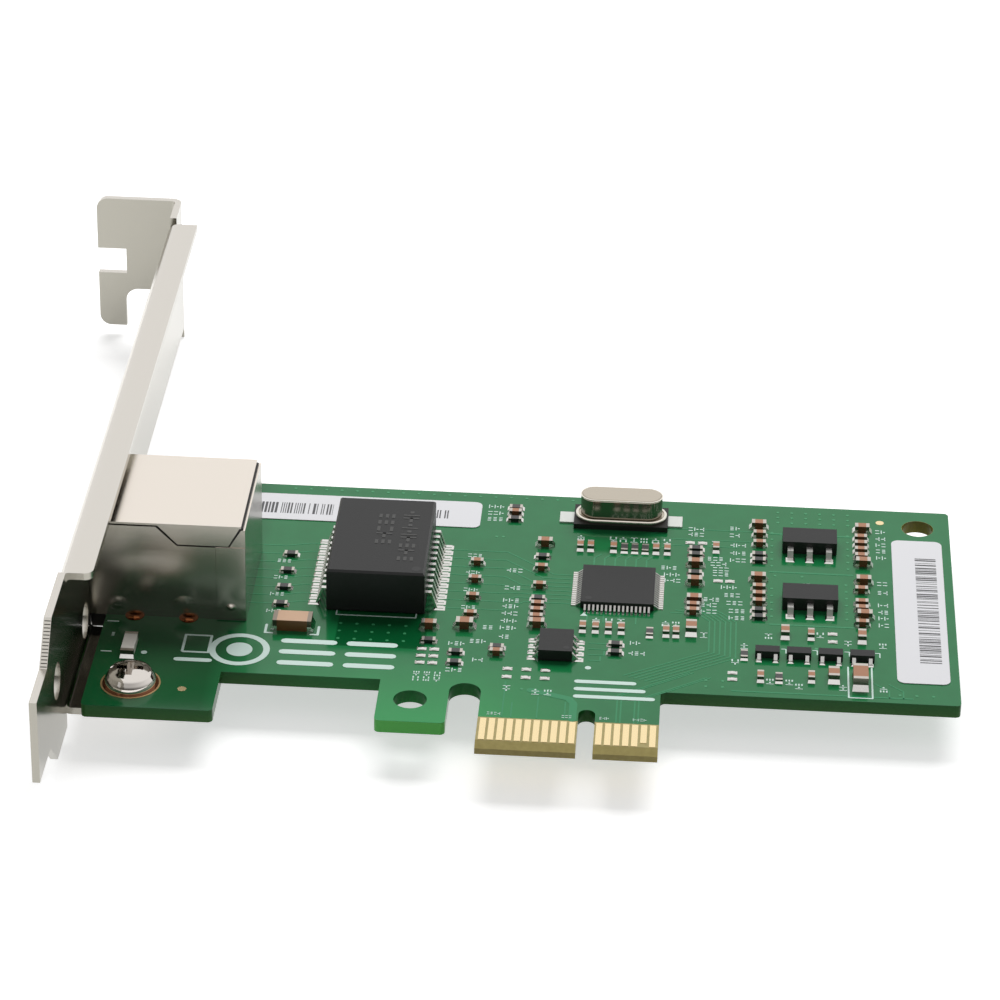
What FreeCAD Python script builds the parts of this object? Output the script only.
import FreeCAD, Part
import math
import os
import re
import Sketcher

# A low-profile network interface card for a one-lane card-edge slot, on a full-height bracket.
#
# Frame: the origin is at the card edge, on the centre line of the key notch and in the middle of
# the board's thickness.  +X runs from the bracket to the far end of the card, +Y from the contact
# fingers to the back edge, and +Z out of the component side.  All sizes are in millimetres.

V = FreeCAD.Vector
doc = FreeCAD.newDocument("network_interface_card")
sheet = doc.addObject("Spreadsheet::Sheet", "Sizes")

# Every driving dimension, under the alias that the sketches and pieces read it by.
sizes = {
    # Printed circuit board
    "board_thick": 1.57,
    "board_right": 42.1,
    "board_left": 56.75,
    "board_back": 57.3,
    "shoulder_height": 12.9,
    "foot_front": 4.5,
    "foot_right": 41.9,
    "hold_left": 23.7,
    "hold_right": 15.75,
    "hold_front": 4.2,
    "tongue_left": 12.15,
    "tongue_right": 8.15,
    "notch_width": 1.9,
    "notch_height": 8.4,
    "bevel_height": 1.2,
    "bevel_depth": 0.42,
    "corner_radius": 0.6,
    "hold_hole_x": -20.0,
    "hold_hole_y": 8.9,
    "rear_hole_x": 38.25,
    "rear_hole_y": 53.2,
    "tooling_hole_radius": 1.9,

    # Gold contact fingers
    "finger_pitch": 1.0,
    "finger_width": 0.7,
    "finger_low": 1.25,
    "finger_high": 5.7,
    "finger_late_low": 2.0,
    "plating_thick": 0.05,

    # Mounting bracket, bent from one sheet
    "bracket_face": 58.6,
    "sheet_thick": 0.86,
    "bend_inside": 0.5,
    "bracket_length": 120.02,
    "bracket_tip": -11.72,
    "strip_top": 15.1,
    "strip_width": 18.42,
    "tongue_width": 10.19,
    "tongue_length": 7.0,
    "flange_reach": 3.0,
    "flange_rise": 20.9,
    "flange_stop": 7.9,
    "flange_relief": 1.8,
    "flange_corner_radius": 1.0,
    "ear_reach": 11.43,
    "ear_drop": 19.9,
    "ear_web": 2.9,
    "ear_notch_width": 3.6,
    "ear_notch_depth": 3.8,
    "ear_notch_low": 4.2,
    "ear_leg_width": 3.6,
    "ear_leg_low": -3.6,
    "ear_gap_top": 1.9,
    "ear_gap_radius": 1.7,
    "ear_corner_radius": 1.5,
    "seat_reach": 11.6,
    "seat_before": 3.4,
    "front_seat_after": 14.5,
    "rear_seat_after": 7.9,
    "indicator_radius": 2.15,
    "indicator_low_rise": 12.82,
    "indicator_low_z": 5.9,
    "indicator_high_rise": 11.0,
    "indicator_high_z": 2.05,
    "port_clearance": 0.2,

    # Screws that hold the board to the bracket
    "screw_x": -51.8,
    "screw_front_y": 9.65,
    "screw_rear_y": 49.0,
    "screw_shank_radius": 1.4,
    "screw_hole_radius": 1.6,
    "screw_head_radius": 2.9,
    "screw_head_height": 2.0,
    "screw_head_edge": 0.7,
    "screw_flat_radius": 1.3,
    "screw_tail": 0.7,
    "recess_width": 0.75,
    "recess_length": 3.0,
    "recess_depth": 1.1,
    "ring_radius": 3.2,

    # Modular jack
    "jack_front": 59.6,
    "jack_rear": 40.35,
    "jack_near": 24.4,
    "jack_width": 16.3,
    "jack_height": 12.43,
    "shield_thick": 0.25,
    "shield_slit": 0.2,
    "fold_start": 50.7,
    "fold_height": 2.65,
    "fold_slope": 2.4,
    "fold_end": 1.9,
    "leg_front_x": -53.4,
    "leg_rear_x": -47.1,
    "leg_width": 1.1,
    "leg_pad_radius": 1.1,
    "housing_setback": 0.3,
    "cavity_width": 11.8,
    "cavity_floor": 1.5,
    "cavity_height": 7.0,
    "cavity_depth": 14.0,
    "latch_width": 6.3,
    "latch_height": 1.5,
    "latch_slot_width": 3.3,
    "latch_slot_height": 1.2,
    "peg_x": -50.3,
    "peg_spread": 11.4,
    "peg_radius": 1.5,
    "peg_clearance": 0.1,
    "wire_pitch": 1.02,
    "wire_thick": 0.3,
    "wire_width": 0.35,
    "wire_run": 0.7,
    "wire_bend_x": -57.6,
    "wire_tip_x": -50.6,
    "wire_tip_height": 3.4,
    "pin_first_x": -44.0,
    "pin_row_step": 2.54,
    "pin_tail": 1.0,

    # Isolation transformer block
    "magnetics_x": -25.6,
    "magnetics_y": 36.35,
    "magnetics_wide": 11.5,
    "magnetics_long": 17.6,
    "magnetics_tall": 5.45,
    "magnetics_gap": 0.15,
    "magnetics_bevel": 0.25,
    "magnetics_pitch": 1.3,
    "magnetics_lead_width": 0.55,
    "magnetics_shoulder": 2.0,
    "magnetics_span": 15.7,
    "magnetics_foot": 0.9,
    "lead_thick": 0.2,

    # Network controller
    "controller_x": 2.5,
    "controller_y": 35.0,
    "controller_side": 8.6,
    "controller_tall": 0.95,
    "controller_gap": 0.1,
    "controller_pitch": 0.5,
    "controller_lead_width": 0.24,
    "controller_shoulder": 0.45,
    "controller_span": 10.8,
    "controller_foot": 0.6,
    "fine_lead_thick": 0.12,

    # Memory chip
    "memory_x": -4.15,
    "memory_y": 20.95,
    "memory_wide": 3.9,
    "memory_long": 4.9,
    "memory_tall": 1.45,
    "memory_pitch": 1.27,
    "memory_lead_width": 0.42,
    "memory_shoulder": 0.75,
    "memory_span": 6.1,
    "memory_foot": 0.6,

    # Voltage regulators
    "regulator_x": 25.1,
    "regulator_far_y": 47.5,
    "regulator_near_y": 34.2,
    "regulator_wide": 6.5,
    "regulator_long": 3.5,
    "regulator_tall": 1.65,
    "regulator_gap": 0.05,
    "regulator_pitch": 2.3,
    "regulator_lead_width": 0.7,
    "regulator_tab_width": 3.0,
    "regulator_shoulder": 0.8,
    "regulator_span": 7.2,
    "regulator_foot": 0.7,

    # Small transistors
    "transistor_x": 20.15,
    "transistor_y": 22.0,
    "transistor_step": 3.63,
    "transistor_wide": 2.8,
    "transistor_long": 1.35,
    "transistor_tall": 0.95,
    "transistor_gap": 0.05,
    "transistor_spread": 1.9,
    "transistor_lead_width": 0.42,
    "transistor_shoulder": 0.5,
    "transistor_span": 2.9,
    "transistor_foot": 0.4,

    # Crystal
    "crystal_x": 2.25,
    "crystal_y": 52.0,
    "crystal_base_long": 11.4,
    "crystal_base_wide": 4.9,
    "crystal_base_tall": 0.65,
    "crystal_lip_long": 11.0,
    "crystal_lip_wide": 4.5,
    "crystal_lip_thick": 0.35,
    "crystal_can_long": 9.9,
    "crystal_can_wide": 3.6,
    "crystal_tall": 3.7,
    "crystal_crown_bevel": 0.25,
    "crystal_tail_long": 1.6,
    "crystal_tail_wide": 2.2,
    "crystal_tail_thick": 0.2,

    # Ceramic chip parts: length over both ends, width, height and length of each metal end
    "small_long": 1.5,
    "small_wide": 0.75,
    "small_tall": 0.7,
    "small_end": 0.35,
    "medium_long": 1.75,
    "medium_wide": 0.95,
    "medium_tall": 0.9,
    "medium_end": 0.4,
    "large_long": 2.0,
    "large_wide": 1.25,
    "large_tall": 1.0,
    "large_end": 0.45,
    "bulk_long": 3.3,
    "bulk_wide": 1.7,
    "bulk_tall": 1.5,
    "bulk_end": 0.5,
    "resistor_long": 1.6,
    "resistor_wide": 0.8,
    "resistor_tall": 0.45,
    "resistor_end": 0.32,
    "suppressor_long": 4.5,
    "suppressor_wide": 2.3,
    "suppressor_tall": 1.4,
    "suppressor_end": 0.5,
    "suppressor_x": -34.85,
    "suppressor_y": 23.65,
    "chassis_part_long": 4.2,
    "chassis_part_wide": 1.5,
    "chassis_part_tall": 0.9,
    "chassis_part_end": 0.5,
    "chassis_part_x": -53.0,
    "chassis_part_y": 17.2,

    # Bare solder lands and paper labels
    "land_long": 1.1,
    "land_wide": 0.65,
    "land_thick": 0.08,
    "paper_thick": 0.1,
    "end_label_x": 38.0,
    "end_label_y": 33.6,
    "end_label_wide": 6.05,
    "end_label_long": 32.8,
    "back_label_x": -30.4,
    "back_label_y": 51.65,
    "back_label_wide": 31.2,
    "back_label_long": 6.3,
    "label_radius": 0.9,
}
for row, (name, number) in enumerate(sizes.items(), start=1):
    sheet.set("A%d" % row, name)
    sheet.set("B%d" % row, str(number))
    sheet.setAlias("B%d" % row, name)
doc.recompute()
alias = re.compile(r"\b(%s)\b" % "|".join(sorted(sizes, key=len, reverse=True)))


def full(formula):
    """Write a formula of aliases the way the expression engine reads it."""
    return alias.sub(r"Sizes.\1", str(formula))


def value(formula):
    """Work a formula out now, for the first guess that a sketch needs."""
    return float(sheet.evalExpression(full(formula)))


def bind(thing, path, formula):
    thing.setExpression(path, full(formula))


def place(thing, x="0", y="0", z="0"):
    bind(thing, "Placement.Base.x", x)
    bind(thing, "Placement.Base.y", y)
    bind(thing, "Placement.Base.z", z)


# Levels and edges that several pieces share
TOP = "board_thick / 2"
UNDER = "-board_thick / 2"
BEND_OUTSIDE = "(bend_inside + sheet_thick)"
INNER_BEND_X = "-bracket_face + bend_inside"
EAR_BEND_X = "-bracket_face - bend_inside - sheet_thick"


# ---------------------------------------------------------------- bodies, sketches and features

def new_body(label):
    body = doc.addObject("PartDesign::Body", label)
    body.Label = label
    return body


def origin_part(body, role):
    """One of the body's own origin planes or axes, such as XY_Plane or Y_Axis."""
    return [part for part in body.Origin.OriginFeatures if part.Role == role][0]


def new_sketch(body, plane, offset="0"):
    """A sketch on one of the body's planes, moved along the plane's normal."""
    sketch = body.newObject("Sketcher::SketchObject", body.Name + "_sketch")
    sketch.AttachmentSupport = [(origin_part(body, plane), "")]
    sketch.MapMode = "FlatFace"
    bind(sketch, "AttachmentOffset.Base.z", offset)
    return sketch


def hold(sketch, direction, edge, end, formula):
    """Hold one coordinate of a sketch point at a formula."""
    row = sketch.addConstraint(Sketcher.Constraint(direction, -1, 1, edge, end, value(formula)))
    bind(sketch, "Constraints[%d]" % row, formula)


def hold_point(sketch, edge, end, x, y):
    hold(sketch, "DistanceX", edge, end, x)
    hold(sketch, "DistanceY", edge, end, y)


def add_arc(sketch, start, stop, centre, turn):
    """Add an arc from start to stop; turn is 1 for anticlockwise and -1 for clockwise."""
    first, last = (start, stop) if turn > 0 else (stop, start)
    low = math.atan2(first.y - centre.y, first.x - centre.x)
    high = math.atan2(last.y - centre.y, last.x - centre.x)
    if high < low:
        high += 2 * math.pi
    circle = Part.Circle(centre, V(0, 0, 1), (start - centre).Length)
    edge = sketch.addGeometry(Part.ArcOfCircle(circle, low, high), False)
    return (edge, 1, 2) if turn > 0 else (edge, 2, 1)


def outline(sketch, corners):
    """Draw a closed outline.

    A corner is (x, y).  One that starts an arc is (x, y, centre_x, centre_y, turn).
    """
    points = [V(value(corner[0]), value(corner[1]), 0) for corner in corners]
    edges = []
    for index, corner in enumerate(corners):
        start = points[index]
        stop = points[(index + 1) % len(points)]
        if len(corner) == 2:
            edges.append((sketch.addGeometry(Part.LineSegment(start, stop), False), 1, 2))
            continue
        centre = V(value(corner[2]), value(corner[3]), 0)
        edges.append(add_arc(sketch, start, stop, centre, corner[4]))
    for index, (edge, start, stop) in enumerate(edges):
        following, first, _ = edges[(index + 1) % len(edges)]
        sketch.addConstraint(Sketcher.Constraint("Coincident", edge, stop, following, first))
    for index, corner in enumerate(corners):
        edge, start, _ = edges[index]
        hold_point(sketch, edge, start, corner[0], corner[1])
        if len(corner) > 2:
            chord = points[(index + 1) % len(points)] - points[index]
            along = 1 if abs(chord.x) >= abs(chord.y) else 0
            hold(sketch, ("DistanceX", "DistanceY")[along], edge, 3, corner[2 + along])


def rectangle(sketch, left, low, right, high):
    outline(sketch, [(left, low), (right, low), (right, high), (left, high)])


def around(sketch, x, y, wide, long):
    """A rectangle about its middle."""
    rectangle(sketch, "%s - %s / 2" % (x, wide), "%s - %s / 2" % (y, long),
              "%s + %s / 2" % (x, wide), "%s + %s / 2" % (y, long))


def disc(sketch, x, y, radius):
    centre = V(value(x), value(y), 0)
    edge = sketch.addGeometry(Part.Circle(centre, V(0, 0, 1), value(radius)), False)
    row = sketch.addConstraint(Sketcher.Constraint("Radius", edge, value(radius)))
    bind(sketch, "Constraints[%d]" % row, radius)
    hold_point(sketch, edge, 3, x, y)


def stadium(sketch, length, width):
    """A long shape with round ends, centred on the sketch's origin and lying along its x axis."""
    reach = "(%s - %s) / 2" % (length, width)
    radius = "%s / 2" % width
    outline(sketch, [
        ("-(%s)" % reach, "-%s" % radius),
        (reach, "-%s" % radius, reach, "0", 1),
        (reach, radius),
        ("-(%s)" % reach, radius, "-(%s)" % reach, "0", 1),
    ])


def pad(body, sketch, length, backwards=False, both_ways=False):
    feature = body.newObject("PartDesign::Pad", body.Name + "_pad")
    feature.Profile = sketch
    feature.Reversed = backwards
    feature.Midplane = both_ways
    bind(feature, "Length", length)
    body.Tip = feature
    doc.recompute()
    return feature


def pocket(body, sketch, length, backwards=False, both_ways=False):
    """Cut the sketch into the body, and stop if nothing was cut."""
    before = body.Shape.Volume
    feature = body.newObject("PartDesign::Pocket", body.Name + "_pocket")
    feature.Profile = sketch
    feature.Reversed = backwards
    feature.Midplane = both_ways
    bind(feature, "Length", length)
    body.Tip = feature
    doc.recompute()
    if not feature.Shape.Volume < before:
        raise RuntimeError("%s: a pocket cuts nothing" % body.Label)
    return feature


def row_of(body, axis, step, count, feature=None):
    """Repeat one feature, or the whole body so far, along one of the body's axes."""
    pattern = body.newObject("PartDesign::LinearPattern", body.Name + "_row")
    if feature is None:
        pattern.TransformMode = "Whole shape"
    else:
        pattern.Originals = [feature]
    pattern.Direction = (origin_part(body, axis), [""])
    pattern.Occurrences = count
    bind(pattern, "Length", "(%s) * %d" % (step, count - 1))
    body.Tip = pattern
    doc.recompute()
    return pattern


def mirrored(body, plane):
    """Repeat the whole body on the other side of one of its planes."""
    pattern = body.newObject("PartDesign::Mirrored", body.Name + "_mirror")
    pattern.TransformMode = "Whole shape"
    pattern.MirrorPlane = (origin_part(body, plane), [""])
    body.Tip = pattern
    doc.recompute()
    return pattern


def turned(body, count):
    """Repeat the whole body round its Z axis."""
    pattern = body.newObject("PartDesign::PolarPattern", body.Name + "_round")
    pattern.TransformMode = "Whole shape"
    pattern.Axis = (origin_part(body, "Z_Axis"), [""])
    pattern.Angle = 360
    pattern.Occurrences = count
    body.Tip = pattern
    doc.recompute()
    return pattern


def edges_where(shape, wanted):
    """Names of the edges whose middle point passes a test."""
    found = []
    for index, edge in enumerate(shape.Edges):
        middle = edge.valueAt((edge.FirstParameter + edge.LastParameter) / 2)
        if wanted(edge, middle):
            found.append("Edge%d" % (index + 1))
    return found


def near(number, formula):
    return abs(number - value(formula)) < 0.01


def fillet(body, radius, wanted):
    base = body.Tip
    feature = body.newObject("PartDesign::Fillet", body.Name + "_fillet")
    feature.Base = (base, edges_where(base.Shape, wanted))
    bind(feature, "Radius", radius)
    body.Tip = feature
    doc.recompute()
    return feature


def chamfer(body, depth, wanted):
    base = body.Tip
    feature = body.newObject("PartDesign::Chamfer", body.Name + "_chamfer")
    feature.Base = (base, edges_where(base.Shape, wanted))
    bind(feature, "Size", depth)
    body.Tip = feature
    doc.recompute()
    return feature


def block(label, x, y, z, length, width, height):
    """A plain box given by the middle of its footprint and its underside."""
    box = doc.addObject("Part::Box", label)
    box.Label = label
    bind(box, "Length", length)
    bind(box, "Width", width)
    bind(box, "Height", height)
    place(box, "%s - (%s) / 2" % (x, length), "%s - (%s) / 2" % (y, width), z)
    return box


def group(label, members):
    """Several like pieces kept as one sub-part of separate solids."""
    compound = doc.addObject("Part::Compound", label)
    compound.Label = label
    compound.Links = members
    return compound


# ---------------------------------------------------------------- printed circuit board

SCREW_Y = ("screw_front_y", "screw_rear_y")
JACK_FAR = "(jack_near + jack_width)"
JACK_MIDDLE = "(jack_near + jack_width / 2)"
LEG_NEAR_Y = "(jack_near + shield_thick / 2)"
LEG_FAR_Y = "(jack_near + jack_width - shield_thick / 2)"


def wire_y(index):
    """Position across the jack of one of the eight contact wires."""
    return "%s + wire_pitch * %s" % (JACK_MIDDLE, index - 3.5)


def pin_x(index):
    """The pins stand in two rows, one for the even wires and one for the odd."""
    return "pin_first_x - pin_row_step * %d" % (index % 2)


def make_board():
    """The board's outline is routed, its edge connector bevelled and its holes drilled.

    The jack's pins and legs stand in holes that solder fills, so each cut-out is the pin's own size.
    """
    body = new_body("circuit_board")
    sketch = new_sketch(body, "XY_Plane", UNDER)
    slot_high = "shoulder_height - (hold_right - tongue_left) / 2"
    slot_middle = "-(hold_right + tongue_left) / 2"
    notch_high = "notch_height - notch_width / 2"
    outline(sketch, [
        ("-board_left", "foot_front"),
        ("-foot_right", "foot_front"),
        ("-foot_right", "shoulder_height"),
        ("-hold_left", "shoulder_height"),
        ("-hold_left", "hold_front"),
        ("-hold_right", "hold_front"),
        ("-hold_right", slot_high, slot_middle, slot_high, -1),
        ("-tongue_left", slot_high),
        ("-tongue_left", "0"),
        ("-notch_width / 2", "0"),
        ("-notch_width / 2", notch_high, "0", notch_high, -1),
        ("notch_width / 2", notch_high),
        ("notch_width / 2", "0"),
        ("tongue_right", "0"),
        ("tongue_right", "shoulder_height"),
        ("board_right", "shoulder_height"),
        ("board_right", "board_back"),
        ("-board_left", "board_back"),
    ])
    pad(body, sketch, "board_thick")

    def upright(x, y):
        return lambda edge, at: near(at.x, x) and near(at.y, y) and near(at.z, "0")

    outer_corners = [
        upright("-foot_right", "foot_front"),
        upright("-hold_left", "hold_front"),
        upright("-hold_right", "hold_front"),
        upright("board_right", "shoulder_height"),
        upright("board_right", "board_back"),
        upright("-board_left", "board_back"),
        upright("-board_left", "foot_front"),
        upright("tongue_right", "shoulder_height"),
    ]
    fillet(body, "corner_radius", lambda edge, at: any(test(edge, at) for test in outer_corners))

    holes = new_sketch(body, "XY_Plane")
    disc(holes, "hold_hole_x", "hold_hole_y", "tooling_hole_radius")
    disc(holes, "rear_hole_x", "rear_hole_y", "tooling_hole_radius")
    for y in SCREW_Y:
        disc(holes, "screw_x", y, "screw_hole_radius")
    for side in ("-", "+"):
        disc(holes, "peg_x", "%s %s peg_spread / 2" % (JACK_MIDDLE, side), "peg_radius + peg_clearance")
    for x in ("leg_front_x", "leg_rear_x"):
        for y in (LEG_NEAR_Y, LEG_FAR_Y):
            around(holes, x, y, "leg_width", "shield_thick")
    for index in range(8):
        around(holes, pin_x(index), wire_y(index), "wire_thick", "wire_width")
    pocket(body, holes, "board_thick * 2", both_ways=True)

    bevel = new_sketch(body, "YZ_Plane")
    for face, inwards in ((TOP, "-"), (UNDER, "+")):
        outline(bevel, [
            ("0", "%s %s bevel_depth" % (face, inwards)),
            ("bevel_height", face),
            ("0", face),
        ])
    pocket(body, bevel, "tongue_left * 3", both_ways=True)
    return body


def make_fingers():
    """Eleven fingers before the key notch and seven after it, on both faces of the tongue.

    The last but one starts late, so that it is the last to touch when the card goes in.
    """
    before_notch = range(-11, 0)
    after_notch = range(1, 8)
    fingers = []
    for face in (TOP, UNDER + " - plating_thick"):
        for index in (*before_notch, *after_notch):
            x = "finger_pitch * %s" % (index - 0.5 if index < 0 else index + 0.5)
            low = "finger_late_low" if index == after_notch[-2] else "finger_low"
            middle = "(%s + finger_high) / 2" % low
            long = "finger_high - %s" % low
            fingers.append(block("finger", x, middle, face, "finger_width", long, "plating_thick"))
    return group("contact_fingers", fingers)


# ---------------------------------------------------------------- bracket

STRIP_LOW = "(strip_top - strip_width)"
NECK_STEP = "((strip_width - tongue_width) / 2)"
EAR_BACK = "(bracket_tip + bracket_length)"
NECK_Y = "(bracket_tip + tongue_length)"
FLANGE_FRONT = "(bracket_tip + flange_rise)"
FLANGE_BACK = "(%s - flange_stop)" % EAR_BACK
SEAT_BEND = "(%s + bend_inside)" % UNDER
FLANGE_ROOT = "(strip_top - %s)" % BEND_OUTSIDE
EAR_BEND_Y = "(%s - %s)" % (EAR_BACK, BEND_OUTSIDE)
EAR_LOW = "(strip_top - ear_drop)"
EAR_EDGE = "(-bracket_face - ear_reach)"
SEATS = (("screw_front_y", "front_seat_after"), ("screw_rear_y", "rear_seat_after"))


def make_bracket():
    """The bracket is one folded sheet: strip, side flange, screw ear and two seats for the board."""
    body = new_body("mounting_bracket")

    strip = new_sketch(body, "YZ_Plane", "-bracket_face")
    corners = [
        ("bracket_tip", STRIP_LOW + " + " + NECK_STEP),
        (NECK_Y, STRIP_LOW + " + " + NECK_STEP),
        (NECK_Y + " + " + NECK_STEP, STRIP_LOW),
    ]
    for y, reach in SEATS:
        corners += [
            (y + " - seat_before", STRIP_LOW),
            (y + " - seat_before", SEAT_BEND),
            (y + " + " + reach, SEAT_BEND),
            (y + " + " + reach, STRIP_LOW),
        ]
    corners += [
        (EAR_BEND_Y, STRIP_LOW),
        (EAR_BEND_Y, "strip_top"),
        (FLANGE_BACK + " + flange_relief", "strip_top"),
        (FLANGE_BACK + " + flange_relief", FLANGE_ROOT),
        (FLANGE_FRONT, FLANGE_ROOT),
        (FLANGE_FRONT, "strip_top"),
        (NECK_Y + " + " + NECK_STEP, "strip_top"),
        (NECK_Y, "strip_top - " + NECK_STEP),
        ("bracket_tip", "strip_top - " + NECK_STEP),
    ]
    outline(strip, corners)
    rectangle(strip, "jack_near - port_clearance", TOP + " - port_clearance",
              JACK_FAR + " + port_clearance", TOP + " + jack_height + port_clearance")
    disc(strip, "bracket_tip + indicator_low_rise", "indicator_low_z", "indicator_radius")
    disc(strip, "screw_front_y + indicator_high_rise", "indicator_high_z", "indicator_radius")
    pad(body, strip, "sheet_thick", backwards=True)

    flange = new_sketch(body, "XZ_Plane", "-" + FLANGE_FRONT)
    outline(flange, [
        ("-bracket_face - sheet_thick", FLANGE_ROOT, INNER_BEND_X, FLANGE_ROOT, -1),
        (INNER_BEND_X, "strip_top"),
        ("-bracket_face + flange_reach", "strip_top"),
        ("-bracket_face + flange_reach", "strip_top - sheet_thick"),
        (INNER_BEND_X, "strip_top - sheet_thick", INNER_BEND_X, FLANGE_ROOT, 1),
        ("-bracket_face", FLANGE_ROOT),
    ])
    pad(body, flange, "%s - %s" % (FLANGE_BACK, FLANGE_FRONT), backwards=True)

    for y, reach in SEATS:
        seat = new_sketch(body, "XZ_Plane", "seat_before - " + y)
        outline(seat, [
            ("-bracket_face - sheet_thick", SEAT_BEND, INNER_BEND_X, SEAT_BEND, 1),
            (INNER_BEND_X, UNDER + " - sheet_thick"),
            ("-bracket_face + seat_reach", UNDER + " - sheet_thick"),
            ("-bracket_face + seat_reach", UNDER),
            (INNER_BEND_X, UNDER, INNER_BEND_X, SEAT_BEND, -1),
            ("-bracket_face", SEAT_BEND),
        ])
        pad(body, seat, "seat_before + " + reach, backwards=True)

    ear = new_sketch(body, "XY_Plane", EAR_LOW)
    outline(ear, [
        ("-bracket_face", EAR_BEND_Y, EAR_BEND_X, EAR_BEND_Y, 1),
        (EAR_BEND_X, EAR_BACK),
        (EAR_EDGE, EAR_BACK),
        (EAR_EDGE, EAR_BACK + " - sheet_thick"),
        (EAR_BEND_X, EAR_BACK + " - sheet_thick", EAR_BEND_X, EAR_BEND_Y, -1),
        ("-bracket_face - sheet_thick", EAR_BEND_Y),
    ])
    pad(body, ear, "ear_drop")

    cuts = new_sketch(body, "XZ_Plane")
    rectangle(cuts, EAR_EDGE + " - 1", "ear_notch_low",
              EAR_EDGE + " + ear_notch_depth", "ear_notch_low + ear_notch_width")
    leg_side = EAR_EDGE + " + ear_leg_width"
    outline(cuts, [
        (EAR_EDGE + " - 1", EAR_LOW + " - 1"),
        (EAR_EDGE + " - 1", "ear_leg_low"),
        (leg_side, "ear_leg_low"),
        (leg_side, "ear_gap_top - ear_gap_radius",
         leg_side + " + ear_gap_radius", "ear_gap_top - ear_gap_radius", -1),
        (leg_side + " + ear_gap_radius", "ear_gap_top"),
        ("-bracket_face - ear_web", "ear_gap_top"),
        ("-bracket_face - ear_web", EAR_LOW + " - 1"),
    ])
    pocket(body, cuts, "bracket_length * 3", both_ways=True)

    def ear_corner(edge, at):
        across = near(at.y, EAR_BACK + " - sheet_thick / 2")
        outer = near(at.x, EAR_EDGE) and (near(at.z, "strip_top") or near(at.z, "ear_leg_low"))
        return across and outer

    def flange_corner(edge, at):
        return near(at.x, "-bracket_face + flange_reach") and near(at.y, FLANGE_FRONT)

    fillet(body, "ear_corner_radius", ear_corner)
    fillet(body, "flange_corner_radius", flange_corner)

    seat_holes = new_sketch(body, "XY_Plane")
    for y in SCREW_Y:
        disc(seat_holes, "screw_x", y, "screw_shank_radius")
    pocket(body, seat_holes, "board_thick * 4", both_ways=True)
    return body


# ---------------------------------------------------------------- screws and plated rings

def make_screws():
    """Pan-head screws with a cross recess, driven through the board into the bracket's seats."""
    body = new_body("bracket_screws")
    profile = new_sketch(body, "XZ_Plane")
    shank_low = "-plating_thick - board_thick - sheet_thick - screw_tail"
    crown_x = "(screw_head_radius + screw_flat_radius) / 2 + 0.25"
    crown_z = "(screw_head_edge + screw_head_height) / 2 + 0.25"
    outline(profile, [
        ("0", shank_low),
        ("screw_shank_radius", shank_low),
        ("screw_shank_radius", "0"),
        ("screw_head_radius", "0"),
        ("screw_head_radius", "screw_head_edge"),
        (crown_x, crown_z),
        ("screw_flat_radius", "screw_head_height"),
        ("0", "screw_head_height"),
    ])
    turn = body.newObject("PartDesign::Revolution", "bracket_screws_turn")
    turn.Profile = profile
    turn.ReferenceAxis = (profile, ["V_Axis"])
    turn.Angle = 360
    body.Tip = turn
    doc.recompute()
    cross = new_sketch(body, "XY_Plane", "screw_head_height")
    arm = "recess_width / 2"
    tip = "recess_length / 2"
    outline(cross, [
        (arm, arm), (tip, arm), (tip, "-" + arm), (arm, "-" + arm),
        (arm, "-" + tip), ("-" + arm, "-" + tip), ("-" + arm, "-" + arm), ("-" + tip, "-" + arm),
        ("-" + tip, arm), ("-" + arm, arm), ("-" + arm, tip), (arm, tip),
    ])
    pocket(body, cross, "recess_depth")
    row_of(body, "Y_Axis", "screw_rear_y - screw_front_y", 2)
    place(body, "screw_x", "screw_front_y", TOP + " + plating_thick")
    return body


def make_screw_rings():
    """Bare plated rings under the screw heads earth the board to the bracket."""
    body = new_body("screw_rings")
    sketch = new_sketch(body, "XY_Plane")
    disc(sketch, "0", "0", "ring_radius")
    disc(sketch, "0", "0", "screw_hole_radius")
    pad(body, sketch, "plating_thick")
    row_of(body, "Y_Axis", "screw_rear_y - screw_front_y", 2)
    place(body, "screw_x", "screw_front_y", TOP)
    return body


def make_leg_pads():
    """Solder pads that show in front of the four legs of the jack's shield."""
    body = new_body("shield_leg_pads")
    sketch = new_sketch(body, "XY_Plane")
    for x in ("leg_front_x", "leg_rear_x"):
        for side, turn in (("jack_near", 1), (JACK_FAR, -1)):
            outline(sketch, [
                (x + " - leg_pad_radius", side, x, side, turn),
                (x + " + leg_pad_radius", side),
            ])
    pad(body, sketch, "plating_thick")
    place(body, z=TOP)
    return body


# ---------------------------------------------------------------- modular jack

JACK_TOP = "(%s + jack_height)" % TOP


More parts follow.
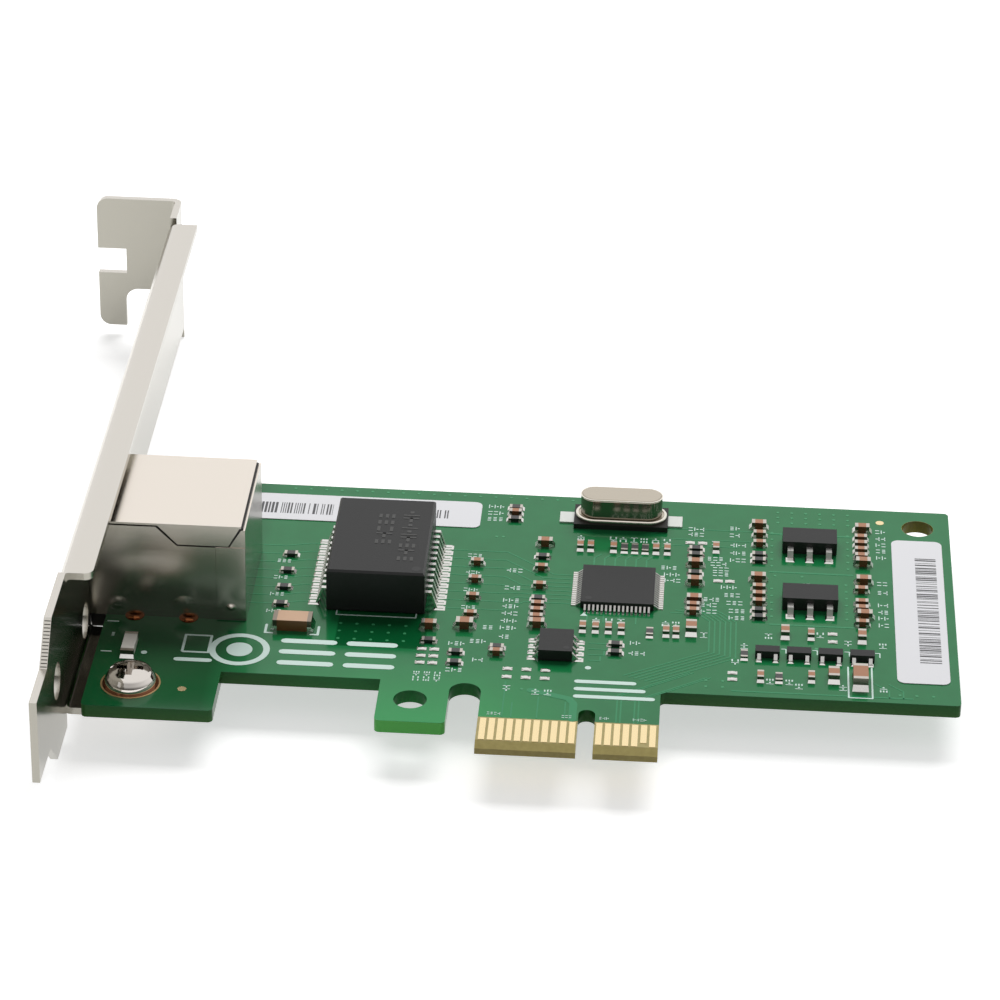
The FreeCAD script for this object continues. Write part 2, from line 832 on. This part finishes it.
def make_shield():
    """A folded can: roof and two sides, a rear plate, a roof flap over one side and four legs."""
    body = new_body("jack_shield")
    wrap = new_sketch(body, "YZ_Plane", "-jack_front")
    outline(wrap, [
        ("jack_near", TOP),
        ("jack_near + shield_thick", TOP),
        ("jack_near + shield_thick", JACK_TOP + " - shield_thick"),
        (JACK_FAR + " - shield_thick", JACK_TOP + " - shield_thick"),
        (JACK_FAR + " - shield_thick", TOP),
        (JACK_FAR, TOP),
        (JACK_FAR, JACK_TOP),
        ("jack_near", JACK_TOP),
    ])
    pad(body, wrap, "jack_front - jack_rear - shield_thick - shield_slit")

    rear = new_sketch(body, "YZ_Plane", "-jack_rear")
    rectangle(rear, "jack_near", TOP, JACK_FAR, JACK_TOP + " - shield_thick - shield_slit")
    pad(body, rear, "shield_thick", backwards=True)
    link = new_sketch(body, "YZ_Plane", "-jack_rear - shield_thick")
    for near_side, far_side in (("jack_near", "jack_near + shield_thick"),
                                (JACK_FAR + " - shield_thick", JACK_FAR)):
        rectangle(link, near_side, TOP, far_side, JACK_TOP + " - shield_thick - shield_slit")
    pad(body, link, "shield_slit * 1.5", backwards=True)

    flap_end = "-jack_rear - fold_end"
    seam = new_sketch(body, "XZ_Plane", "-jack_near")
    outline(seam, [
        ("-jack_front + 1.5", JACK_TOP + " - shield_thick"),
        ("-jack_front + 1.5", JACK_TOP + " - shield_thick - shield_slit"),
        ("-fold_start", JACK_TOP + " - shield_thick - shield_slit"),
        ("-fold_start + fold_slope", JACK_TOP + " - fold_height - shield_slit"),
        (flap_end, JACK_TOP + " - fold_height - shield_slit"),
        ("-jack_rear - shield_thick - shield_slit", JACK_TOP + " - shield_thick - shield_slit"),
        ("-jack_rear - shield_thick - shield_slit", JACK_TOP + " - shield_thick"),
    ])
    pocket(body, seam, "shield_thick")
    flap = new_sketch(body, "XZ_Plane", "-jack_near")
    outline(flap, [
        ("-fold_start + shield_slit", JACK_TOP + " - shield_thick"),
        ("-fold_start + fold_slope + shield_slit / 2", JACK_TOP + " - fold_height"),
        (flap_end + " - shield_slit / 2", JACK_TOP + " - fold_height"),
        ("-jack_rear - shield_thick - shield_slit * 2", JACK_TOP + " - shield_thick"),
    ])
    pad(body, flap, "shield_thick", backwards=True)

    legs = new_sketch(body, "XY_Plane", TOP)
    for x in ("leg_front_x", "leg_rear_x"):
        for low, high in (("jack_near", "jack_near + shield_thick"),
                          (JACK_FAR + " - shield_thick", JACK_FAR)):
            rectangle(legs, x + " - leg_width / 2", low, x + " + leg_width / 2", high)
    pad(body, legs, "board_thick + pin_tail", backwards=True)
    return body


def make_contacts():
    """Eight sprung wires: a pin through the board, a run under the cavity and a sprung finger."""
    body = new_body("jack_contacts")
    run_low = TOP + " + wire_run"
    run_high = TOP + " + wire_run + wire_thick"
    for row in range(2):
        sketch = new_sketch(body, "XZ_Plane", "-(%s)" % wire_y(row))
        x = pin_x(row)
        low = UNDER + " - pin_tail"
        outline(sketch, [
            (x + " + wire_thick / 2", low),
            (x + " + wire_thick / 2", run_high),
            ("wire_bend_x + wire_thick * 2", run_high),
            ("wire_tip_x", TOP + " + wire_tip_height"),
            ("wire_tip_x", TOP + " + wire_tip_height + wire_thick"),
            ("wire_bend_x", run_high),
            ("wire_bend_x", run_low),
            (x + " - wire_thick / 2", run_low),
            (x + " - wire_thick / 2", low),
        ])
        wire = pad(body, sketch, "wire_width", both_ways=True)
        row_of(body, "Y_Axis", "wire_pitch * 2", 4, wire)
    return body


def make_housing(contacts):
    """The moulded insert fills the shield, leaves the plug cavity and stands on two pegs."""
    body = new_body("jack_insert")
    back = "-jack_rear - shield_thick"
    front = "jack_front - housing_setback"
    block_sketch = new_sketch(body, "YZ_Plane", "-(%s)" % front)
    rectangle(block_sketch, "jack_near + shield_thick", TOP,
              JACK_FAR + " - shield_thick", JACK_TOP + " - shield_thick")
    pad(body, block_sketch, "jack_front - housing_setback - jack_rear - shield_thick")
    cavity = new_sketch(body, "YZ_Plane", "-(%s)" % front)
    floor = TOP + " + cavity_floor"
    roof = floor + " + cavity_height"
    step = roof + " + latch_height"
    crown = step + " + latch_slot_height"
    half = [("cavity_width / 2", floor), ("cavity_width / 2", roof),
            ("latch_width / 2", roof), ("latch_width / 2", step),
            ("latch_slot_width / 2", step), ("latch_slot_width / 2", crown)]
    right = [("%s + %s" % (JACK_MIDDLE, reach), z) for reach, z in half]
    left = [("%s - %s" % (JACK_MIDDLE, reach), z) for reach, z in reversed(half)]
    outline(cavity, right + left)
    pocket(body, cavity, "cavity_depth", backwards=True)
    pegs = new_sketch(body, "XY_Plane", TOP)
    for side in ("-", "+"):
        disc(pegs, "peg_x", "%s %s peg_spread / 2" % (JACK_MIDDLE, side), "peg_radius")
    pad(body, pegs, "board_thick", backwards=True)
    cut = doc.addObject("Part::Cut", "jack_housing")
    cut.Label = "jack_housing"
    cut.Base = body
    cut.Tool = contacts
    return cut


# ---------------------------------------------------------------- packages with bent leads

def package(label, wide, long, low, tall, bevel=None):
    """A moulded body centred on its own origin, standing off the board."""
    body = new_body(label)
    sketch = new_sketch(body, "XY_Plane", low)
    rectangle(sketch, "-(%s) / 2" % wide, "-(%s) / 2" % long, "(%s) / 2" % wide, "(%s) / 2" % long)
    pad(body, sketch, "%s - %s" % (tall, low))
    if bevel:
        chamfer(body, bevel, lambda edge, at: near(at.z, tall))
    return body


def gull_wing(root, span, shoulder, foot, thick):
    """A lead that leaves its package level, bends down and ends in a flat foot."""
    toe = "(%s) / 2" % span
    heel = "%s - %s" % (toe, foot)
    knee = "%s - (%s) * 0.35" % (heel, shoulder)
    return [
        (root, shoulder),
        (knee, shoulder),
        (heel, "0"),
        (toe, "0"),
        (toe, thick),
        ("%s + %s" % (heel, thick), thick),
        ("%s + %s" % (knee, thick), "%s + %s" % (shoulder, thick)),
        (root, "%s + %s" % (shoulder, thick)),
    ]


def short_lead(root, span, shoulder, foot, thick):
    """A lead too short to show a shoulder: it slants from its package straight to its foot."""
    toe = "(%s) / 2" % span
    heel = "%s - %s" % (toe, foot)
    return [
        (root, shoulder),
        (heel, "0"),
        (toe, "0"),
        (toe, thick),
        ("%s + %s" % (heel, thick), thick),
        (root, "%s + %s" % (shoulder, thick)),
    ]


def on_other_side(corners):
    """The same lead on the opposite side of its package."""
    return [("-(%s)" % reach, z) for reach, z in corners]


def lead_row(body, corners, width, pitch, count):
    """A row of leads on the +X side of the body, centred on its X axis."""
    sketch = new_sketch(body, "XZ_Plane", "%s * %s" % (pitch, (count - 1) / 2))
    outline(sketch, corners)
    lead = pad(body, sketch, width, both_ways=True)
    row_of(body, "Y_Axis", pitch, count, lead)


def make_magnetics():
    body = package("magnetics_body", "magnetics_wide", "magnetics_long", "magnetics_gap",
                   "magnetics_tall", "magnetics_bevel")
    place(body, "magnetics_x", "magnetics_y", TOP)
    leads = new_body("magnetics_leads")
    corners = gull_wing("magnetics_wide / 2", "magnetics_span", "magnetics_shoulder",
                        "magnetics_foot", "lead_thick")
    lead_row(leads, corners, "magnetics_lead_width", "magnetics_pitch", 12)
    mirrored(leads, "YZ_Plane")
    place(leads, "magnetics_x", "magnetics_y", TOP)
    return [body, leads]


def make_controller():
    body = package("controller_body", "controller_side", "controller_side", "controller_gap",
                   "controller_tall")
    place(body, "controller_x", "controller_y", TOP)
    leads = new_body("controller_leads")
    corners = short_lead("controller_side / 2", "controller_span", "controller_shoulder",
                         "controller_foot", "fine_lead_thick")
    lead_row(leads, corners, "controller_lead_width", "controller_pitch", 16)
    turned(leads, 4)
    place(leads, "controller_x", "controller_y", TOP)
    return [body, leads]


def make_memory():
    body = package("memory_body", "memory_wide", "memory_long", "controller_gap", "memory_tall")
    place(body, "memory_x", "memory_y", TOP)
    leads = new_body("memory_leads")
    corners = short_lead("memory_wide / 2", "memory_span", "memory_shoulder", "memory_foot",
                         "lead_thick")
    lead_row(leads, corners, "memory_lead_width", "memory_pitch", 4)
    mirrored(leads, "YZ_Plane")
    place(leads, "memory_x", "memory_y", TOP)
    return [body, leads]


def make_regulators():
    """Each regulator has three narrow leads towards the fingers and a wide cooling tab behind."""
    bodies = package("regulator_bodies", "regulator_wide", "regulator_long", "regulator_gap",
                     "regulator_tall")
    apart = "regulator_far_y - regulator_near_y"
    row_of(bodies, "Y_Axis", apart, 2)
    place(bodies, "regulator_x", "regulator_near_y", TOP)
    leads = new_body("regulator_leads")
    corners = gull_wing("regulator_long / 2", "regulator_span", "regulator_shoulder",
                        "regulator_foot", "lead_thick")
    across = new_sketch(leads, "YZ_Plane", "-regulator_pitch")
    outline(across, on_other_side(corners))
    lead = pad(leads, across, "regulator_lead_width", both_ways=True)
    row_of(leads, "X_Axis", "regulator_pitch", 3, lead)
    tab = new_sketch(leads, "YZ_Plane")
    outline(tab, corners)
    pad(leads, tab, "regulator_tab_width", both_ways=True)
    row_of(leads, "Y_Axis", apart, 2)
    place(leads, "regulator_x", "regulator_near_y", TOP)
    return [bodies, leads]


def make_transistors():
    """Four three-legged transistors in a row, two legs to the front and one behind."""
    bodies = package("transistor_bodies", "transistor_wide", "transistor_long", "transistor_gap",
                     "transistor_tall")
    row_of(bodies, "X_Axis", "transistor_step", 4)
    place(bodies, "transistor_x", "transistor_y", TOP)
    leads = new_body("transistor_leads")
    corners = short_lead("transistor_long / 2", "transistor_span", "transistor_shoulder",
                         "transistor_foot", "fine_lead_thick")
    front = new_sketch(leads, "YZ_Plane", "-transistor_spread / 2")
    outline(front, on_other_side(corners))
    leg = pad(leads, front, "transistor_lead_width", both_ways=True)
    row_of(leads, "X_Axis", "transistor_spread", 2, leg)
    rear = new_sketch(leads, "YZ_Plane")
    outline(rear, corners)
    pad(leads, rear, "transistor_lead_width", both_ways=True)
    row_of(leads, "X_Axis", "transistor_step", 4)
    place(leads, "transistor_x", "transistor_y", TOP)
    return [bodies, leads]


# ---------------------------------------------------------------- crystal

def make_crystal():
    """A drawn steel can with a welded lip, on a plastic base with a flat tail at each end."""
    base = package("crystal_base", "crystal_base_long", "crystal_base_wide", "0",
                   "crystal_base_tall")
    place(base, "crystal_x", "crystal_y", TOP)
    can = new_body("crystal_can")
    lip = new_sketch(can, "XY_Plane")
    stadium(lip, "crystal_lip_long", "crystal_lip_wide")
    pad(can, lip, "crystal_lip_thick")
    cover = new_sketch(can, "XY_Plane", "crystal_lip_thick")
    stadium(cover, "crystal_can_long", "crystal_can_wide")
    pad(can, cover, "crystal_tall - crystal_base_tall - crystal_lip_thick")
    crown = "crystal_tall - crystal_base_tall"
    chamfer(can, "crystal_crown_bevel", lambda edge, at: near(at.z, crown))
    place(can, "crystal_x", "crystal_y", TOP + " + crystal_base_tall")
    tails = new_body("crystal_tails")
    tail = new_sketch(tails, "XY_Plane")
    rectangle(tail, "crystal_base_long / 2", "-crystal_tail_wide / 2",
              "crystal_base_long / 2 + crystal_tail_long", "crystal_tail_wide / 2")
    pad(tails, tail, "crystal_tail_thick")
    mirrored(tails, "YZ_Plane")
    place(tails, "crystal_x", "crystal_y", TOP)
    return [base, can, tails]


# ---------------------------------------------------------------- ceramic chip parts

ACROSS = "across"
ALONG = "along"

# Where the chip parts stand: the place of the first one, the step to the next and how many.
SMALL_CAPACITORS = [
    (ACROSS, 19.1, 49.7, 0, -2.3, 2), (ACROSS, 19.1, 36.9, 0, -1.7, 3),
    (ACROSS, 31.3, 49.8, 0, -1.5, 4), (ACROSS, 31.2, 37.4, 0, -3.0, 2),
    (ACROSS, 31.2, 33.0, 0, -3.3, 2), (ACROSS, -6.8, 39.3, 0, -4.2, 2),
    (ACROSS, -6.8, 30.6, 0, -1.45, 3), (ACROSS, -14.5, 39.9, 0, -4.05, 4),
    (ACROSS, -10.65, 52.3, 0, -1.4, 1), (ACROSS, 11.4, 32.0, 0, -1.3, 2),
    (ACROSS, -10.95, 19.5, 0, 0, 1), (ALONG, -2.4, 45.0, 1.25, 0, 2),
    (ALONG, 1.6, 45.0, 0, 0, 1), (ALONG, 6.7, 45.0, 1.35, 0, 2),
    (ALONG, -1.3, 26.1, 1.5, 0, 4), (ALONG, 8.4, 25.9, 1.15, 0, 2),
    (ALONG, 25.2, 26.7, 0, 0, 1), (ALONG, 19.4, 16.9, 0, 0, 1),
    (ALONG, 25.2, 17.3, 0, 0, 1), (ALONG, 13.9, 46.0, 0, 0, 1),
]
MEDIUM_CAPACITORS = [
    (ACROSS, 19.0, 51.8, 0, -12.7, 2), (ACROSS, 31.5, 52.0, 0, -8.2, 2),
    (ACROSS, 31.5, 39.5, 0, -8.0, 2), (ACROSS, -6.65, 45.2, 0, -19.0, 2),
    (ACROSS, -19.1, 24.8, 0, 0, 1), (ACROSS, 11.5, 41.8, 0, -4.2, 3),
    (ALONG, 22.2, 26.8, 0, 0, 1), (ALONG, 31.1, 26.6, 0, 0, 1),
]
LARGE_CAPACITORS = [
    (ACROSS, -15.0, 25.3, 0, 0, 1), (ALONG, 11.3, 26.7, 0, 0, 1), (ALONG, 27.75, 17.7, 0, 0, 1),
]
BULK_CAPACITORS = [(ALONG, 30.75, 17.1, 0, 0, 1)]
RESISTORS = [
    (ACROSS, -36.8, 40.0, 0, -3.9, 4), (ACROSS, 19.05, 44.9, 0, -1.4, 2),
    (ACROSS, 19.1, 31.8, 0, -1.55, 2), (ACROSS, -6.8, 42.1, 0, 0, 1),
    (ACROSS, -6.8, 32.2, 0, 0, 1), (ACROSS, -10.65, 53.7, 0, -2.8, 2),
    (ACROSS, 2.65, 22.6, 0, -1.8, 2), (ACROSS, -18.9, 21.6, 0, 0, 1),
    (ACROSS, -15.6, 19.3, 0, -2.3, 2), (ACROSS, 11.5, 45.6, 0, -1.4, 2),
    (ACROSS, 11.5, 39.8, 0, 0, 1), (ACROSS, -10.95, 20.8, 0, 0, 1),
    (ALONG, 2.9, 45.0, 1.25, 0, 3), (ALONG, 6.5, 25.6, 0, 0, 1),
    (ALONG, 21.5, 16.9, 0, 0, 1), (ALONG, 17.5, 21.6, 0, 0, 1),
]
LANDS = [
    (ACROSS, -19.55, 19.85, 0, -1.5, 3), (ACROSS, -18.1, 19.85, 0, -1.5, 3),
    (ACROSS, -9.45, 16.35, 2.17, 0, 3), (ACROSS, -9.45, 14.6, 2.17, 0, 3),
    (ACROSS, 27.7, 27.3, 0, -1.75, 2), (ACROSS, 16.2, 17.7, 0, -1.4, 2),
    (ACROSS, 10.75, 47.2, 1.5, 0, 2), (ACROSS, 14.25, 38.35, 1.4, 0, 2),
]


def places(runs):
    """Spread the runs out into single places."""
    for turn, x, y, step_x, step_y, count in runs:
        for index in range(count):
            yield turn, x + step_x * index, y + step_y * index


def chip_parts(body_label, end_label, runs, kind):
    """Ceramic blocks with a metal end at either side, lying across or along the card."""
    long, wide, tall, end = (kind + suffix for suffix in ("_long", "_wide", "_tall", "_end"))
    middle = "%s - %s * 2" % (long, end)
    blocks = []
    ends = []
    for turn, x, y in places(runs):
        if turn == ACROSS:
            blocks.append(block(body_label + "_block", x, y, TOP, middle, wide, tall))
        else:
            blocks.append(block(body_label + "_block", x, y, TOP, wide, middle, tall))
        for side in ("-", "+"):
            reach = "%s (%s - %s) / 2" % (side, long, end)
            if turn == ACROSS:
                spot = ("%s %s" % (x, reach), y)
                extent = (end, wide)
            else:
                spot = (x, "%s %s" % (y, reach))
                extent = (wide, end)
            ends.append(block(end_label + "_block", *spot, TOP, *extent, tall))
    return [group(body_label, blocks), group(end_label, ends)]


def make_single_chips():
    """The isolation capacitor beside the transformer and the chassis part beside the screw."""
    parts = []
    for name, turn in (("suppressor", ACROSS), ("chassis_part", ALONG)):
        spot = [(turn, name + "_x", name + "_y")]
        labels = {"suppressor": ("isolation_capacitor_body", "isolation_capacitor_ends"),
                  "chassis_part": ("chassis_capacitor_body", "chassis_capacitor_ends")}[name]
        parts += placed_chip(labels[0], labels[1], spot[0], name)
    return parts


def placed_chip(body_label, end_label, spot, kind):
    """One chip part whose place is in the sheet."""
    turn, x, y = spot
    long, wide, tall, end = (kind + suffix for suffix in ("_long", "_wide", "_tall", "_end"))
    middle = "%s - %s * 2" % (long, end)
    extent = (middle, wide) if turn == ACROSS else (wide, middle)
    ceramic = block(body_label, x, y, TOP, *extent, tall)
    ends = []
    for side in ("-", "+"):
        reach = "%s (%s - %s) / 2" % (side, long, end)
        if turn == ACROSS:
            ends.append(block(end_label + "_block", x + reach, y, TOP, end, wide, tall))
        else:
            ends.append(block(end_label + "_block", x, y + reach, TOP, wide, end, tall))
    return [ceramic, group(end_label, ends)]


def make_lands():
    """Tinned lands that carry no part."""
    blocks = [block("land", x, y, TOP, "land_long", "land_wide", "land_thick")
              for _, x, y in places(LANDS)]
    return group("solder_lands", blocks)


def make_label(label, kind):
    """A paper label with rounded corners, stuck to the board."""
    body = new_body(label)
    sketch = new_sketch(body, "XY_Plane")
    wide = kind + "_wide"
    long = kind + "_long"
    rectangle(sketch, "-%s / 2" % wide, "-%s / 2" % long, "%s / 2" % wide, "%s / 2" % long)
    pad(body, sketch, "paper_thick")
    fillet(body, "label_radius", lambda edge, at: near(at.z, "paper_thick / 2"))
    place(body, kind + "_x", kind + "_y", TOP)
    return body


# ---------------------------------------------------------------- the whole card

contacts = make_contacts()
parts = [make_board(), make_fingers(), make_bracket(), make_screws(), make_screw_rings(),
         make_leg_pads(), make_shield(), contacts, make_housing(contacts)]
parts += make_magnetics()
parts += make_controller()
parts += make_memory()
parts += make_regulators()
parts += make_transistors()
parts += make_crystal()
parts += chip_parts("small_capacitor_bodies", "small_capacitor_ends", SMALL_CAPACITORS, "small")
parts += chip_parts("medium_capacitor_bodies", "medium_capacitor_ends", MEDIUM_CAPACITORS, "medium")
parts += chip_parts("large_capacitor_bodies", "large_capacitor_ends", LARGE_CAPACITORS, "large")
parts += chip_parts("bulk_capacitor_body", "bulk_capacitor_ends", BULK_CAPACITORS, "bulk")
parts += chip_parts("resistor_bodies", "resistor_ends", RESISTORS, "resistor")
parts += make_single_chips()
parts.append(make_lands())
parts += [make_label("end_label", "end_label"), make_label("back_label", "back_label")]

doc.recompute()
for thing in doc.Objects:
    if "Invalid" in thing.State or "Error" in thing.State:
        raise RuntimeError("%s did not recompute: %s" % (thing.Label, thing.State))
os.makedirs("parts", exist_ok=True)
for part in parts:
    if part.Shape.isNull() or not part.Shape.isValid():
        raise RuntimeError("%s has no valid shape" % part.Label)
for part in parts:
    part.Shape.exportStep("parts/%s.step" % part.Label)
    print("%-28s %3d solids %10.3f mm3" % (part.Label, len(part.Shape.Solids), part.Shape.Volume))
